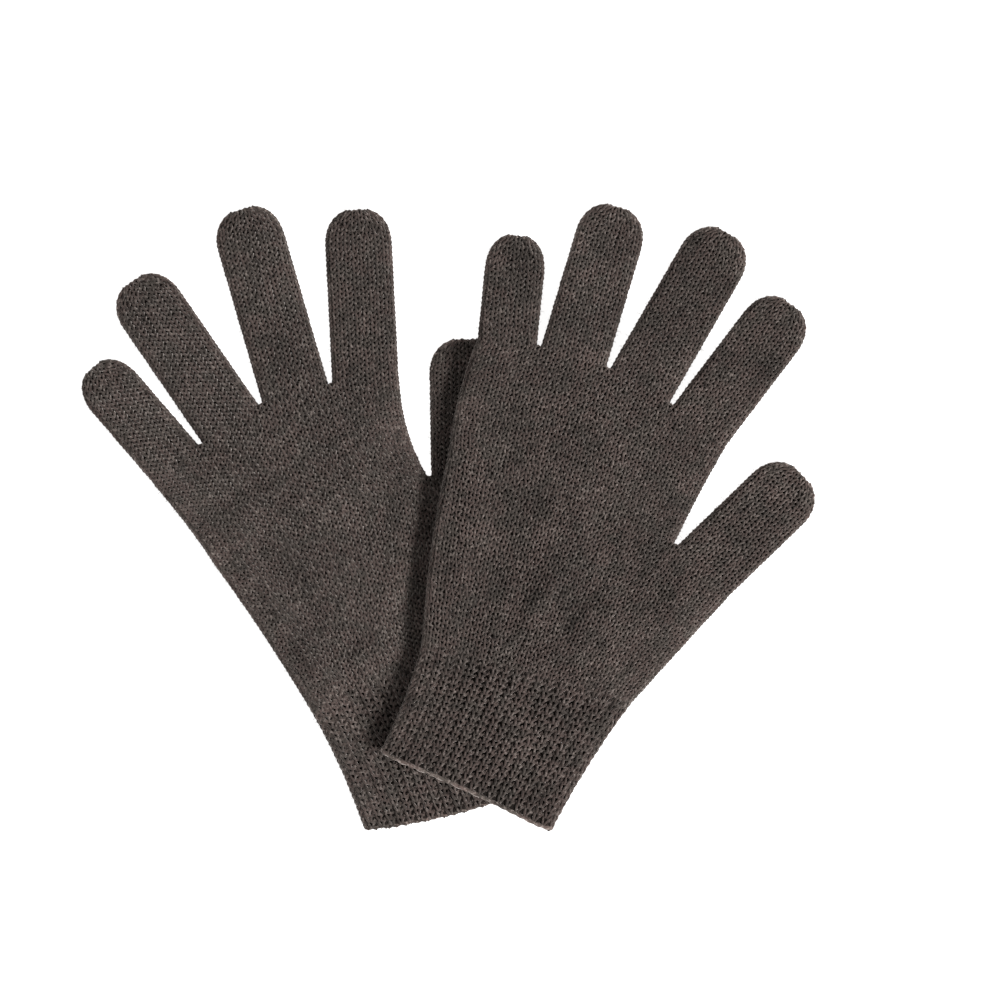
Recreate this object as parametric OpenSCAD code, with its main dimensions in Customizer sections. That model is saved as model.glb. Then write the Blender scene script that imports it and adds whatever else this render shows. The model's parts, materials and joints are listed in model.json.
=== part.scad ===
// A pair of knitted five-finger gloves, laid flat with one glove over the edge of the other.
// The left glove lies on the table with its back up. The right glove lies over its thumb edge
// with the palm up, and slopes down to the table. Each glove is a hollow flat tube of knitting:
// a hem, a ribbed cuff, a lower hand that carries the thumb, an upper hand that carries the
// four fingers, and five digit tubes that are closed at the tip by a row of linked loops.

/* [Fingers] */
// Flat width of the little finger's tube
little_width = 24.3; // [19:0.1:30]
// Flat width of the ring finger's tube
ring_width = 27.7; // [22:0.1:34]
// Flat width of the middle finger's tube
middle_width = 27.9; // [22:0.1:34]
// Flat width of the index finger's tube
index_width = 27.2; // [22:0.1:34]
// Little finger from its root to the tip
little_length = 46; // [38:0.5:56]
// Ring finger from its root to the tip
ring_length = 64; // [53:0.5:78]
// Middle finger from its root to the tip
middle_length = 71.5; // [59:0.5:86]
// Index finger from its root to the tip
index_length = 62.5; // [52:0.5:76]
// Length over which a digit rounds off to its tip
tip_round = 13; // [10:0.5:16]

/* [Thumb] */
// Flat width of the thumb's tube
thumb_width = 29.3; // [24:0.1:36]
// Thumb from its root to the tip
thumb_length = 54; // [44:0.5:65]
// Height of the thumb's crotch above the wrist line
thumb_rise = 66; // [54:0.5:80]
// Distance of the thumb's crotch from the hand's middle line
thumb_reach = 34.6; // [28:0.1:42]

/* [Hand] */
// From the wrist line to the middle of the finger roots
hand_length = 106.5; // [92:0.5:128]
// Width across the wrist line
wrist_width = 85; // [70:0.5:102]
// Shift of the finger roots away from the thumb
knuckle_shift = 13.4; // [10:0.1:16.5]

/* [Cuff] */
// Cuff with its hem, from the wrist line to the mouth
cuff_length = 52.5; // [43:0.5:64]
// Width of the cuff's mouth
mouth_width = 73; // [60:0.5:88]
// Length of the rolled hem at the mouth
hem_length = 4.2; // [3:0.1:6]
// How much thicker the rolled hem is than the cuff
hem_swell = 0.6; // [0.2:0.1:1]

/* [Fabric] */
// Thickness of the knitted fabric
fabric = 1.6; // [1.3:0.05:2]
// Height of the hollow between the two layers
hollow = 5.8; // [4.8:0.1:7]

/* [Laying out] */
// Middle of the left glove's wrist line
left_wrist = [30, -42.4];
// Left glove's turn, counterclockwise
left_turn = 22; // [15:1:28]
// Middle of the right glove's wrist line
right_wrist = [75.2, -42.6];
// Right glove's turn, counterclockwise
right_turn = -22; // [-28:1:-15]

/* [Hidden] */
DIGITS = ["little", "ring", "middle", "index", "thumb"];
PANELS = ["hem", "cuff", "lower_hand", "upper_hand"];
SIDES = ["left", "right"];
DIGIT_PIECES = ["lower", "upper", "closing"];
PIECES = concat(PANELS, [for (digit = DIGITS, piece = DIGIT_PIECES) str(digit, "_", piece)]);

// How each glove lies: the left one's value, then the right one's.
// Spread of each digit from the hand's middle line, in the order of DIGITS
spreads = [[18.7, 12.5, -5.8, -19.1, -21], [16.2, 5.3, -8, -15.3, -24.1]];
// How far each digit, and then the hand, is pulled out or pushed together
digit_pulls = [[1.09, 1.05, 1.04, 1.068, 0.98], [0.91, 0.95, 0.96, 0.95, 1]];
hand_pulls = [0.97, 1.02];
// Turns of the wrist line, the cuff's middle line and its mouth against the hand
wrist_tilts = [-4.5, 5.6];
cuff_leans = [-3.8, -5.3];
mouth_tilts = [-7.5, -3];
// How much each cuff is stretched, and how far its mouth bows outward in the middle
cuff_pulls = [1.05, 1];
mouth_bows = [3, -1.2];
// Outward bow of the hand on the little finger's side, and between thumb and index finger
outer_bows = [-1.5, 3];
inner_bows = [-2.4, -0.4];
cuff_waist = 1.4;      // how far the cuff pulls in at its sides

widths = [little_width, ring_width, middle_width, index_width, thumb_width];
lengths = [little_length, ring_length, middle_length, index_length, thumb_length];
thickness = hollow + 2 * fabric;
bend_share = 0.5;      // where a digit bends, as a share of its length
fold_gap = 0.3;        // running gap at each fold
seam_gap = 0.2;        // gap between panels of one body
side_gap = 0.25;       // inset of a digit's edge from the crotch beside it
tip_share = 0.36;      // width that is left at the very tip
tip_thin = 0.42;       // height that is lost towards the tip
loop_radius = 0.7;     // row of linked loops that closes a tip
loop_gap = 0.2;        // its gap to the tip
loop_depth = 2 * loop_radius + loop_gap;
loop_sweep = 0.62;     // its share of the tip's width

// The line on which the right glove starts to slope down to the table: a point and its turn
slope_point = [76.8, 0];
slope_turn = 5;
layer_gap = 0.3;       // gap between the two gloves where one lies on the other
slope_run = 70;        // distance over which the right glove comes down to the table
slope_ease = 25;       // part of it over which the slope starts, and over which it ends
cover = thickness + hem_swell + layer_gap;
slope = cover / (slope_run - slope_ease);

yarn_colour = [0.28, 0.25, 0.24];
rib_colour = [0.25, 0.225, 0.215];
edge_colour = [0.36, 0.33, 0.31];

// --- the lay of the gloves ---
function turned(p, a) = [p.x * cos(a) - p.y * sin(a), p.x * sin(a) + p.y * cos(a)];
function is_right(side) = side == "right";
function one(pair, side) = pair[is_right(side) ? 1 : 0];
function spread(side) = one(spreads, side);
function length(side, k) = lengths[k] * one(digit_pulls, side)[k];
function in_pair(side, p) =
    turned(p, one([left_turn, right_turn], side)) + one([left_wrist, right_wrist], side);

// How far the point has gone past the slope line, and the drop it has made by then
function past_line(p) = (p - slope_point) * [cos(slope_turn), sin(slope_turn)];
function eased(d) = slope * d * d / (2 * slope_ease);
function drop(d) =
    d <= 0 ? 0
    : d < slope_ease ? eased(d)
    : d < slope_run - slope_ease ? slope * (d - slope_ease / 2)
    : d < slope_run ? cover - eased(slope_run - d)
    : cover;
function mid_height(side, p) = thickness / 2 + (is_right(side) ? cover - drop(past_line(p)) : 0);
function lay(side, p, z) = let (q = in_pair(side, p)) [q.x, q.y, mid_height(side, q) + z];

// --- the plan of one glove, with the wrist line's middle at the origin and the thumb at +X ---
function ahead(a) = [-sin(a), cos(a)];
function across(a) = [cos(a), sin(a)];
function sum_to(list, n) = n <= 0 ? [0, 0] : list[n - 1] + sum_to(list, n - 1);
function root_steps(side) = [for (k = [0:3]) widths[k] * across(spread(side)[k])];
function knuckle(side, k) =
    [-knuckle_shift, hand_length * one(hand_pulls, side)]
    - sum_to(root_steps(side), 4) / 2 + sum_to(root_steps(side), k);
thumb_crotch = [thumb_reach, thumb_rise];
function root_corner(side, k) = k == 4 ? thumb_crotch : knuckle(side, k);
function thumb_corner(side) = thumb_crotch + thumb_width * across(spread(side)[4]);

// The seam between the two hand panels runs from the thumb's crotch to the little finger's edge
seam_share = 0.62;
function wrist(side) = [for (end = [-1, 1]) end * wrist_width / 2 * across(one(wrist_tilts, side))];
// The mouth is a shallow arc, through points at these shares of its width
MOUTH_STEPS = 6;
mouth_shares = [for (i = [0:MOUTH_STEPS]) i / MOUTH_STEPS];
function arch(share) = 4 * share * (1 - share);
function mouth(side) = [
    for (share = mouth_shares)
        let (reach = cuff_length * one(cuff_pulls, side) + arch(share) * one(mouth_bows, side))
        (share - 1 / 2) * mouth_width * across(one(mouth_tilts, side)) - reach * ahead(one(cuff_leans, side))
];
function seam_left(side) = between(wrist(side)[0], knuckle(side, 0), seam_share) - [one(outer_bows, side), 0];

// A point at a share of a polyline's length
function run_length(line, n) = n <= 0 ? 0 : norm(line[n] - line[n - 1]) + run_length(line, n - 1);
function along(line, share) =
    let (
        want = share * run_length(line, len(line) - 1),
        ends = [for (i = [1:len(line) - 1]) run_length(line, i)],
        i = [for (j = [0:len(ends) - 1]) if (want <= ends[j] + 1e-9 || j == len(ends) - 1) j][0],
        start = i == 0 ? 0 : ends[i - 1]
    )
    line[i] + (line[i + 1] - line[i]) * (want - start) / (ends[i] - start);

// --- the cross-section of a flat tube: [share of the width, height] round one ring ---
ARC_STEPS = 5;
function ring(width, height, flats, inset) =
    let (
        rx = min(height / 2, width / 2) - inset,
        rz = height / 2 - inset,
        far = width - inset
    )
    [
        for (i = [0:ARC_STEPS]) let (a = -90 + 180 * i / ARC_STEPS)
            [(far - rx + rx * cos(a)) / width, rz * sin(a)],
        for (i = [1:flats - 1]) [(far - rx - (width - 2 * inset - 2 * rx) * i / flats) / width, rz],
        for (i = [0:ARC_STEPS]) let (a = 90 + 180 * i / ARC_STEPS)
            [(inset + rx + rx * cos(a)) / width, rz * sin(a)],
        for (i = [1:flats - 1]) [(inset + rx + (width - 2 * inset - 2 * rx) * i / flats) / width, -rz]
    ];

// A shell between matching outer and inner rings, open at its start and, unless closed, at its end
module shell(outer, inner, closed = false) {
    rings = len(outer);
    n = len(outer[0]);
    points = [for (r = concat(outer, inner)) each r];
    function at(layer, i, j) = (layer * rings + i) * n + j % n;
    m = rings - 1;
    skin = [
        for (i = [0:rings - 2], j = [0:n - 1]) each [
            [at(0, i, j), at(0, i + 1, j + 1), at(0, i + 1, j)],
            [at(0, i, j), at(0, i, j + 1), at(0, i + 1, j + 1)],
            [at(1, i, j), at(1, i + 1, j), at(1, i + 1, j + 1)],
            [at(1, i, j), at(1, i + 1, j + 1), at(1, i, j + 1)]
        ]
    ];
    start = [
        for (j = [0:n - 1]) each [
            [at(0, 0, j), at(1, 0, j + 1), at(0, 0, j + 1)],
            [at(0, 0, j), at(1, 0, j), at(1, 0, j + 1)]
        ]
    ];
    open_end = [
        for (j = [0:n - 1]) each [
            [at(0, m, j), at(0, m, j + 1), at(1, m, j + 1)],
            [at(0, m, j), at(1, m, j + 1), at(1, m, j)]
        ]
    ];
    // Each cap is a strip between the underside's points and the points above them
    function below(t) = (ARC_STEPS - 1) / 2 - t + n;
    function above(t) = (ARC_STEPS + 1) / 2 + t;
    caps = [
        for (t = [0:n / 2 - 2]) each [
            [at(0, m, below(t + 1)), at(0, m, below(t)), at(0, m, above(t))],
            [at(0, m, below(t + 1)), at(0, m, above(t)), at(0, m, above(t + 1))],
            [at(1, m, below(t + 1)), at(1, m, above(t)), at(1, m, below(t))],
            [at(1, m, below(t + 1)), at(1, m, above(t + 1)), at(1, m, above(t))]
        ]
    ];
    polyhedron(points, concat(skin, start, closed ? caps : open_end), convexity = 6);
}

// --- a panel of the hand or cuff: a tube whose lower and upper edges are polylines ---
PANEL_FLATS = 12;
function between(a, b, share) = a + (b - a) * share;
function panel_point(side, low, high, bows, u, v, z) =
    let (bow = arch(v) * (u * bows[1] - (1 - u) * bows[0]))
    lay(side, between(along(low, u), along(high, u), v) + [bow, 0], z);
function panel_rings(side, low, high, bows, rows, swell, inset) = [
    for (i = [0:rows])
        let (
            v = i / rows,
            far = between(along(low, 1), along(high, 1), v),
            near = between(along(low, 0), along(high, 0), v),
            width = norm(far - near)
        )
        [
            for (p = ring(width, thickness + swell, PANEL_FLATS, inset))
                panel_point(side, low, high, bows, p.x, v, p.y + swell / 2)
        ]
];
module panel(side, low, high, rows, bows = [0, 0], swell = 0)
    shell(
        panel_rings(side, low, high, bows, rows, swell, 0),
        panel_rings(side, low, high, bows, rows, swell, fabric)
    );

// A line across the cuff, at a distance from its mouth
function cuff_line(side, distance) = [
    for (i = [0:MOUTH_STEPS])
        between(mouth(side)[i], along(wrist(side), mouth_shares[i]), distance / cuff_length)
];
function ahead_of(line, gap) = [for (p = line) p + [0, gap]];

module hem(side)
    color(edge_colour)
        panel(side, mouth(side), cuff_line(side, hem_length), 1, swell = hem_swell);

module cuff(side)
    color(rib_colour)
        panel(side, cuff_line(side, hem_length + seam_gap), wrist(side), 4, [-cuff_waist, -cuff_waist]);

module lower_hand(side)
    color(yarn_colour)
        panel(
            side,
            ahead_of(wrist(side), seam_gap),
            [seam_left(side), thumb_crotch, thumb_corner(side)],
            5,
            [one(outer_bows, side) / 2, 0]
        );

module upper_hand(side)
    color(yarn_colour)
        panel(
            side,
            ahead_of([seam_left(side), thumb_crotch], seam_gap),
            [for (k = [0:4]) knuckle(side, k)],
            4,
            [one(outer_bows, side) / 2, one(inner_bows, side)]
        );

// --- the digits ---
DIGIT_FLATS = 5;
function digit_point(side, k, x, s, z) =
    lay(side, root_corner(side, k) + x * across(spread(side)[k]) + s * ahead(spread(side)[k]), z);
function digit_ring(side, k, s, width, height, inset) = [
    for (p = ring(width, height, DIGIT_FLATS, 0))
        digit_point(side, k, widths[k] / 2 + (p.x - 0.5) * width, s, p.y)
];

// The lower part, from the root's fold to the middle fold
module digit_lower(side, k) {
    bend = length(side, k) * bend_share;
    stations = [fold_gap, bend / 2, bend - fold_gap / 2];
    full = widths[k] - 2 * side_gap;
    color(yarn_colour) shell(
        [for (s = stations) digit_ring(side, k, s, full, thickness)],
        [for (s = stations) digit_ring(side, k, s, full - 2 * fabric, hollow)]
    );
}

// The upper part, from the middle fold to the rounded tip
TIP_TURNS = [0, 25, 45, 62, 78];
function tip_station(length, round, turn) = length - round + round * sin(turn) / sin(TIP_TURNS[4]);
function tip_width(width, turn) = width * max(tip_share, pow(cos(turn), 0.85));
function tip_height(height, turn) = height * (1 - tip_thin * pow(sin(turn), 2));
module digit_upper(side, k) {
    start = length(side, k) * bend_share + fold_gap / 2;
    tip = length(side, k) - loop_depth;
    full = widths[k] - 2 * side_gap;
    color(yarn_colour) shell(
        concat(
            [digit_ring(side, k, start, full, thickness)],
            [for (t = TIP_TURNS) digit_ring(
                side, k, tip_station(tip, tip_round, t), tip_width(full, t), tip_height(thickness, t)
            )]
        ),
        concat(
            [digit_ring(side, k, start, full - 2 * fabric, hollow)],
            [for (t = TIP_TURNS) digit_ring(
                side, k, tip_station(tip - fabric, tip_round - fabric, t),
                tip_width(full, t) - 2 * fabric, tip_height(thickness, t) - 2 * fabric
            )]
        ),
        closed = true
    );
}

// The row of linked loops across the tip
LOOP_STEPS = 8;
LOOP_SIDES = 8;
module digit_closing(side, k) {
    half = loop_sweep * (widths[k] - 2 * side_gap) * tip_share / 2;
    rings = [
        for (i = [0:LOOP_STEPS])
            let (x = half * (2 * i / LOOP_STEPS - 1))
            [
                for (j = [0:LOOP_SIDES - 1])
                    let (a = 360 * j / LOOP_SIDES)
                    digit_point(
                        side, k, widths[k] / 2 + x,
                        length(side, k) - loop_radius * (1 - cos(a)),
                        loop_radius * sin(a)
                    )
            ]
    ];
    m = LOOP_STEPS;
    n = LOOP_SIDES;
    color(edge_colour) polyhedron(
        [for (r = rings) each r],
        concat(
            [
                for (i = [0:m - 1], j = [0:n - 1]) each [
                    [i * n + j, (i + 1) * n + j, (i + 1) * n + (j + 1) % n],
                    [i * n + j, (i + 1) * n + (j + 1) % n, i * n + (j + 1) % n]
                ]
            ],
            [[for (j = [0:n - 1]) j], [for (j = [n - 1:-1:0]) m * n + j]]
        )
    );
}

// --- the nodes ---
module piece(side, name) {
    if (name == "hem") hem(side);
    if (name == "cuff") cuff(side);
    if (name == "lower_hand") lower_hand(side);
    if (name == "upper_hand") upper_hand(side);
    for (k = [0:4]) {
        if (name == str(DIGITS[k], "_lower")) digit_lower(side, k);
        if (name == str(DIGITS[k], "_upper")) digit_upper(side, k);
        if (name == str(DIGITS[k], "_closing")) digit_closing(side, k);
    }
}

for (side = SIDES, name = PIECES)
    piece(side, name);
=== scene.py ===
"""A pair of knitted five-finger gloves, laid flat with one glove over the edge of the other.

Every panel and digit of the gloves is made of real yarn loops: one closed curve of yarn for each
course, laid round the flat tube of fabric, over a thin shell that stands for the fabric's inner side.
That shell is coloured far darker than the yarn: painted shade between the loops.
"""

import json
import math

import bmesh
import bpy
import numpy as np
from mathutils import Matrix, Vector


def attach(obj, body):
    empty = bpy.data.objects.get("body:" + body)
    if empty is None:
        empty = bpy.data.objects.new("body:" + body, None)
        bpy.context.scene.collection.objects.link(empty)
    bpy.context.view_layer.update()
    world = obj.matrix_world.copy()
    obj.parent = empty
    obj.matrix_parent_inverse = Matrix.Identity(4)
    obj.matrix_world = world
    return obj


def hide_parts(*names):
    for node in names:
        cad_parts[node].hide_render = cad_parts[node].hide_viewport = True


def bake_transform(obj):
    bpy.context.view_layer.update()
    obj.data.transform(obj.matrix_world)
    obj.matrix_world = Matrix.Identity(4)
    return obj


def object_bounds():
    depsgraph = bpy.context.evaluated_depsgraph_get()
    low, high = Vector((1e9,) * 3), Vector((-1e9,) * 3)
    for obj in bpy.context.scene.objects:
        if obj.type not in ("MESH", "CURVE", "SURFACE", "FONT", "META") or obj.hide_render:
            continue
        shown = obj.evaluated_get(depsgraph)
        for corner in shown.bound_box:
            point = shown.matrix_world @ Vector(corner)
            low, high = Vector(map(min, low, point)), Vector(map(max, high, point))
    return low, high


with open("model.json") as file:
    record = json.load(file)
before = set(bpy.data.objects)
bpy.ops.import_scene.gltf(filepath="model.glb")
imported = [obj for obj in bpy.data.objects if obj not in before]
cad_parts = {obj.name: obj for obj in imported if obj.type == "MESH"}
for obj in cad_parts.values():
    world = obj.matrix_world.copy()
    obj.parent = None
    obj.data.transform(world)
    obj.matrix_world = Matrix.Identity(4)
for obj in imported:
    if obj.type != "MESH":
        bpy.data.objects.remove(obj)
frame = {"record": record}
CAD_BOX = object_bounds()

bl_info = {
    "name": "Knitted gloves",
    "version": (1, 0, 0),
    "blender": (4, 5, 0),
    "location": "3D View > Sidebar > Gloves",
    "description": "Builds a pair of knitted gloves from single loops of yarn",
    "category": "Add Mesh",
}

MM = 0.001
SIDES = ("left", "right")
DIGITS = ("little", "ring", "middle", "index", "thumb")
THUMB = DIGITS.index("thumb")

# --- how each glove lies, with lengths in millimetres and turns in degrees ---
LAY = {
    "left": {
        "wrist": (30, -42.4),
        "turn": 22,
        "spread": (18.7, 12.5, -5.8, -19.1, -21),
        "digit_pull": (1.09, 1.05, 1.04, 1.068, 0.98),
        "hand_pull": 0.97,
        "wrist_tilt": -4.5,
        "cuff_lean": -3.8,
        "mouth_tilt": -7.5,
        "cuff_pull": 1.05,
        "mouth_bow": 3,
        "outer_bow": -1.5,
        "inner_bow": -2.4,
    },
    "right": {
        "wrist": (75.2, -42.6),
        "turn": -22,
        "spread": (16.2, 5.3, -8, -15.3, -24.1),
        "digit_pull": (0.91, 0.95, 0.96, 0.95, 1),
        "hand_pull": 1.02,
        "wrist_tilt": 5.6,
        "cuff_lean": -5.3,
        "mouth_tilt": -3,
        "cuff_pull": 1,
        "mouth_bow": -1.2,
        "outer_bow": 3,
        "inner_bow": -0.4,
    },
}
# Points across a cuff's mouth, as shares of its width
MOUTH_STEPS = 6
MOUTH_SHARES = [i / MOUTH_STEPS for i in range(MOUTH_STEPS + 1)]
# The slope that takes the right glove from the left one down to the table
SLOPE_START = (76.8, 0)
SLOPE_TURN = 5
SLOPE_RUN = 70
SLOPE_EASE = 25
# Gap between the two gloves, and beside each digit
LAYER_GAP = 0.3
SIDE_GAP = 0.25
# How far up the outer side of a hand its lower panel reaches
SEAM_SHARE = 0.62
# How far each side of a cuff draws in at its middle
CUFF_WAIST = 1.4
# A rounded tip: its least width and its loss of thickness as shares, the fullness of its curve, and
# how much of that curve it follows
TIP_SHARE = 0.42
TIP_THIN = 0.42
TIP_POWER = 0.36
TIP_REACH = math.sin(math.radians(78))
# How far short of the very tip a digit's tube ends
LOOP_DEPTH = 0.6


def length_property(name, description, default_mm):
    return bpy.props.FloatProperty(
        name=name, description=description, default=default_mm * MM, min=0, unit="LENGTH", precision=4
    )


def colour_property(name, description, default):
    return bpy.props.FloatVectorProperty(
        name=name, description=description, default=default, subtype="COLOR", min=0, max=1
    )


class GloveSizes(bpy.types.PropertyGroup):
    """Sizes of one glove, measured with its tubes lying flat"""

    little_width: length_property("Little finger width", "Flat width of the little finger", 24.3)
    ring_width: length_property("Ring finger width", "Flat width of the ring finger", 27.7)
    middle_width: length_property("Middle finger width", "Flat width of the middle finger", 27.9)
    index_width: length_property("Index finger width", "Flat width of the index finger", 27.2)
    thumb_width: length_property("Thumb width", "Flat width of the thumb", 29.3)
    little_length: length_property("Little finger length", "From its root to the tip", 46)
    ring_length: length_property("Ring finger length", "From its root to the tip", 64)
    middle_length: length_property("Middle finger length", "From its root to the tip", 71.5)
    index_length: length_property("Index finger length", "From its root to the tip", 62.5)
    thumb_length: length_property("Thumb length", "From its root to the tip", 54)
    tip_round: length_property("Tip round", "Length over which a digit rounds off", 13)
    thumb_rise: length_property("Thumb rise", "Height of the thumb's crotch above the wrist", 66)
    thumb_reach: length_property("Thumb reach", "Distance of that crotch from the middle line", 34.6)
    hand_length: length_property("Hand length", "From the wrist line to the finger roots", 106.5)
    wrist_width: length_property("Wrist width", "Width across the wrist line", 85)
    knuckle_shift: length_property("Knuckle shift", "Shift of the finger roots from the thumb", 13.4)
    cuff_length: length_property("Cuff length", "From the wrist line to the mouth", 52.5)
    mouth_width: length_property("Mouth width", "Width of the cuff's mouth", 73)
    hem_length: length_property("Hem length", "Length of the rolled hem", 4.2)
    hem_swell: length_property("Hem swell", "How much thicker the hem is than the cuff", 0.6)
    fabric: length_property("Fabric", "Thickness of the knitted fabric", 1.6)
    hollow: length_property("Hollow", "Height between the two layers", 5.8)


class YarnSizes(bpy.types.PropertyGroup):
    """Gauge of the knitting and thickness of its yarn"""

    wale: length_property("Wale", "Width of one column of stitches", 2.95)
    course: length_property("Course", "Height of one row of stitches", 1.95)
    rib_course: length_property("Rib course", "Height of one row in the cuff", 2.62)
    yarn: length_property("Yarn", "Thickness of the yarn", 1.0)
    rib_yarn: length_property("Rib yarn", "Thickness of the yarn in the looser cuff", 1.1)
    fibre: length_property("Fibre", "Thickness of a loose fibre", 0.08)


class YarnColours(bpy.types.PropertyGroup):
    """Colours of the heather yarn"""

    dark: colour_property("Dark fibres", "Darkest fibres of the heather", (0.032, 0.024, 0.021))
    body: colour_property("Body", "Main colour of the yarn", (0.110, 0.080, 0.071))
    cool: colour_property("Cool fibres", "Greyer colour that drifts in and out", (0.082, 0.068, 0.059))
    light: colour_property("Light fibres", "Lightest fibres of the heather", (0.31, 0.258, 0.232))
    # The inner side is the same yarn, painted about a third as bright: painted shade that falls between the
    # loops
    inner: colour_property("Inner side", "Fabric seen between the loops", (0.03, 0.024, 0.021))
    floor: colour_property("Floor", "The table that the gloves lie on", (0.93, 0.93, 0.93))


# --- plane geometry ---
def across(degrees):
    return np.array([math.cos(math.radians(degrees)), math.sin(math.radians(degrees))])


def ahead(degrees):
    return np.array([-math.sin(math.radians(degrees)), math.cos(math.radians(degrees))])


def along(line, shares):
    """Points at the given shares of a polyline's length."""
    line = np.array(line)
    ends = np.concatenate([[0], np.cumsum(np.linalg.norm(np.diff(line, axis=0), axis=1))])
    want = np.clip(shares, -0.2, 1.2) * ends[-1]
    i = np.clip(np.searchsorted(ends, want, side="right") - 1, 0, len(line) - 2)
    part = (want - ends[i]) / (ends[i + 1] - ends[i])
    return line[i] + (line[i + 1] - line[i]) * part[:, None]


class Glove:
    """The plan of one glove: wrist line's middle at the origin, thumb at +X, laid by place()."""

    def __init__(self, side, sizes):
        self.side = side
        self.sizes = sizes
        lay = LAY[side]
        self.lay = lay
        self.widths = [getattr(sizes, f"{d}_width") for d in DIGITS]
        self.lengths = [getattr(sizes, f"{d}_length") * lay["digit_pull"][k] for k, d in enumerate(DIGITS)]
        self.thickness = sizes.hollow + 2 * sizes.fabric
        self.cover = self.thickness + sizes.hem_swell + LAYER_GAP * MM
        steps = [self.widths[k] * across(lay["spread"][k]) for k in range(THUMB)]
        start = np.array([-sizes.knuckle_shift, sizes.hand_length * lay["hand_pull"]]) - sum(steps) / 2
        self.knuckles = [start + sum(steps[:k], np.zeros(2)) for k in range(THUMB + 1)]
        self.thumb_crotch = np.array([sizes.thumb_reach, sizes.thumb_rise])
        self.thumb_corner = self.thumb_crotch + self.widths[THUMB] * across(lay["spread"][THUMB])
        self.wrist = [end * sizes.wrist_width / 2 * across(lay["wrist_tilt"]) for end in (-1, 1)]
        self.mouth = []
        for share in MOUTH_SHARES:
            reach = sizes.cuff_length * lay["cuff_pull"] + 4 * share * (1 - share) * lay["mouth_bow"] * MM
            along_mouth = (share - 0.5) * sizes.mouth_width * across(lay["mouth_tilt"])
            self.mouth.append(along_mouth - reach * ahead(lay["cuff_lean"]))
        outer = lay["outer_bow"] * MM
        rise = self.knuckles[0] - self.wrist[0]
        self.seam_left = self.wrist[0] + SEAM_SHARE * rise - np.array([outer, 0])

    def in_pair(self, p):
        a = math.radians(self.lay["turn"])
        turn = np.array([[math.cos(a), math.sin(a)], [-math.sin(a), math.cos(a)]])
        return p @ turn + np.array(self.lay["wrist"]) * MM

    def middle_height(self, p):
        """Height of the glove's middle layer over the table: the right glove lies on the left one."""
        low = self.thickness / 2
        if self.side == "left":
            return np.full(len(p), low)
        ease, run = SLOPE_EASE * MM, SLOPE_RUN * MM
        slope = self.cover / (run - ease)
        d = (p - np.array(SLOPE_START) * MM) @ across(SLOPE_TURN)
        start = slope * np.clip(d, 0, ease) ** 2 / (2 * ease)
        middle = slope * np.clip(d - ease, 0, run - 2 * ease)
        end = slope * (ease / 2 - np.clip(run - d, 0, ease) ** 2 / (2 * ease)) * (d > run - ease)
        return low + self.cover - np.minimum(start + middle + end, self.cover)

    def place(self, plan, z, facing):
        """Plan points and heights, laid in the pair; facing is how far each point looks up or down."""
        p = self.in_pair(plan)
        return np.column_stack([p, self.middle_height(p) + z + self.relief(p, facing)])

    def relief(self, p, facing):
        """Dents and soft waves of the upper layer, for it alone."""
        z = np.zeros(len(p))
        for (x, y), (far_x, far_y), spread, depth in RELIEF[self.side]:
            a = np.array([x, y]) * MM
            b = np.array([far_x, far_y]) * MM
            run = b - a
            t = np.clip(((p - a) @ run) / max(run @ run, 1e-12), 0, 1)
            d = np.linalg.norm(p - a - t[:, None] * run, axis=1)
            z += depth * MM * np.exp(-((d / (spread * MM)) ** 2))
        for turn, pitch, height in WAVES:
            z += height * MM * (np.sin((p @ across(turn)) / (pitch * MM) * 2 * math.pi) - 1)
        z = np.where(z < 0, -RELIEF_LIMIT * MM * np.tanh(-z / (RELIEF_LIMIT * MM)), z)
        return z * np.clip(facing, 0, 1)


# Dents (negative) and folds of each glove's upper layer: start, end, spread and depth
RELIEF = {
    "left": [
        ((36, 26), (41, 33), 3.5, -1.3),
        ((39, 28), (31, -24), 5, -2.6),
        ((25, -4), (17, -32), 5, 1.4),
        ((16, 48), (21, 60), 6, 1.2),
        ((-6, -44), (20, -34), 4, 1.8),
    ],
    "right": [
        ((88, -22), (96, -13), 5, -3.6),
        ((98, -11), (130, -4), 7, -3.0),
        ((101, -27), (132, -20), 8, 2.4),
        ((70, -23), (74, -11), 3.4, -2.6),
        ((78, -21), (85, -8), 3.5, 1.8),
    ],
}
# The upper layer never sinks as far as the lower one
RELIEF_LIMIT = 3.8
# Slow waves of the upper layer: which way each runs, its pitch and its height
WAVES = [(20, 37, 0.50), (75, 25, 0.45), (-50, 19, 0.20)]


class Tube:
    """A flat tube of fabric. Its ring at a distance v along it is two flat layers with round edges."""

    end_reach = 0.0

    def stitches_at(self, v, whole, full=0.0):
        """Stitches of the row at v, when the row at full has the whole number: two a face come or go."""
        ends = np.array([full, v], float)
        girth = 2 * self.width_at(ends) + (math.pi - 2) * self.thickness_at(ends)
        return whole - 4 * round(whole * (1 - girth[1] / girth[0]) / 4)

    def ring(self, v, around, out):
        """Plan x from the ring's left edge, height, and the way the surface faces.

        around runs from 0 at the left edge over the upper layer to 0.5 at the right edge and back
        under it to 1; out is the distance from the middle of the fabric.
        """
        inset = self.glove.sizes.fabric / 2
        width = self.width_at(v) - 2 * inset
        r = self.thickness_at(v) / 2 - inset
        flat = width - 2 * r
        whole = 2 * flat + 2 * math.pi * r
        s = (around % 1.0) * whole
        quarter = math.pi * r / 2
        upper = np.clip(s - quarter, 0, flat)
        lower = np.clip(s - 3 * quarter - flat, 0, flat)
        turn = math.pi - (s - upper - lower) / r
        on_arc = r + out
        x = inset + r + upper - lower + on_arc * np.cos(turn)
        return x, on_arc * np.sin(turn), np.sin(turn)


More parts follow.
